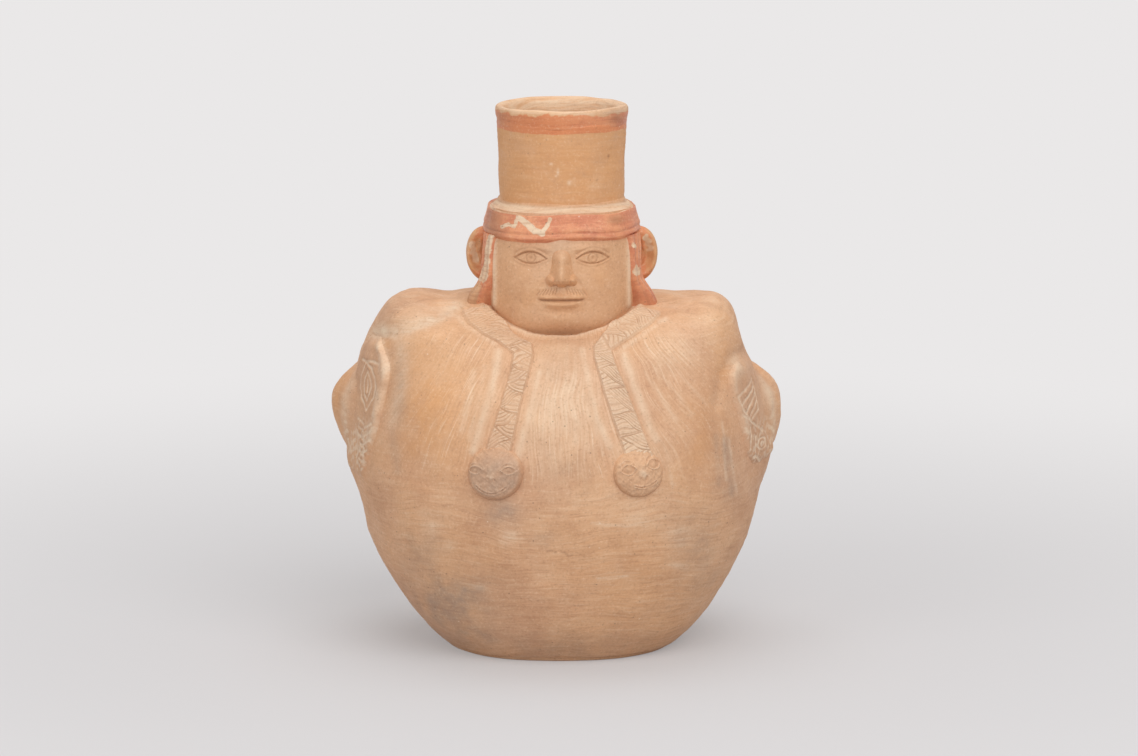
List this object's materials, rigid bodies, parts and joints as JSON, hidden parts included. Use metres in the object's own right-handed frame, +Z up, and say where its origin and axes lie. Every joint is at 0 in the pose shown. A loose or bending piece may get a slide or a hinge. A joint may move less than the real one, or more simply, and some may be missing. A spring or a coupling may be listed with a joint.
{
  "type": "figural jar",
  "caption": "Matte earthenware jar shaped as a human figure, with a rounded hollow body, a head with a red headband, and a straight red-rimmed spout on top.",
  "frame": {"origin": "centre of the flat base, on the surface that the jar stands on", "axes": "+Z up through the spout; the figure faces -Y; +X is the viewer's right"},
  "size_m": [0.1764, 0.139, 0.2103],
  "materials": {
    "buff_clay": "matte, lightly burnished, orange-tan with pale wear",
    "red_slip": "thin red-brown slip, satin, worn",
    "raw_clay": "matte, unsmoothed"
  },
  "bodies": {
    "root": {"base_slab": "buff_clay", "front_body_half": "buff_clay", "back_body_half": "buff_clay", "base_joint_coil": "raw_clay", "left_seam_strip": "raw_clay", "right_seam_strip": "raw_clay", "face_half": "buff_clay", "head_back_half": "buff_clay", "collar_joint_coil": "raw_clay", "headband": "red_slip", "nose": "buff_clay", "crown": "buff_clay", "spout": "buff_clay", "rim_coil": "red_slip", "left_strap": "buff_clay", "right_strap": "buff_clay", "left_pendant_head": "buff_clay", "right_pendant_head": "buff_clay", "left_elbow": "buff_clay", "right_elbow": "buff_clay", "left_arm_band": "buff_clay", "right_arm_band": "buff_clay", "left_hair_lock": "red_slip", "right_hair_lock": "red_slip", "left_ear": "buff_clay", "right_ear": "buff_clay"}
  },
  "joints": []
}
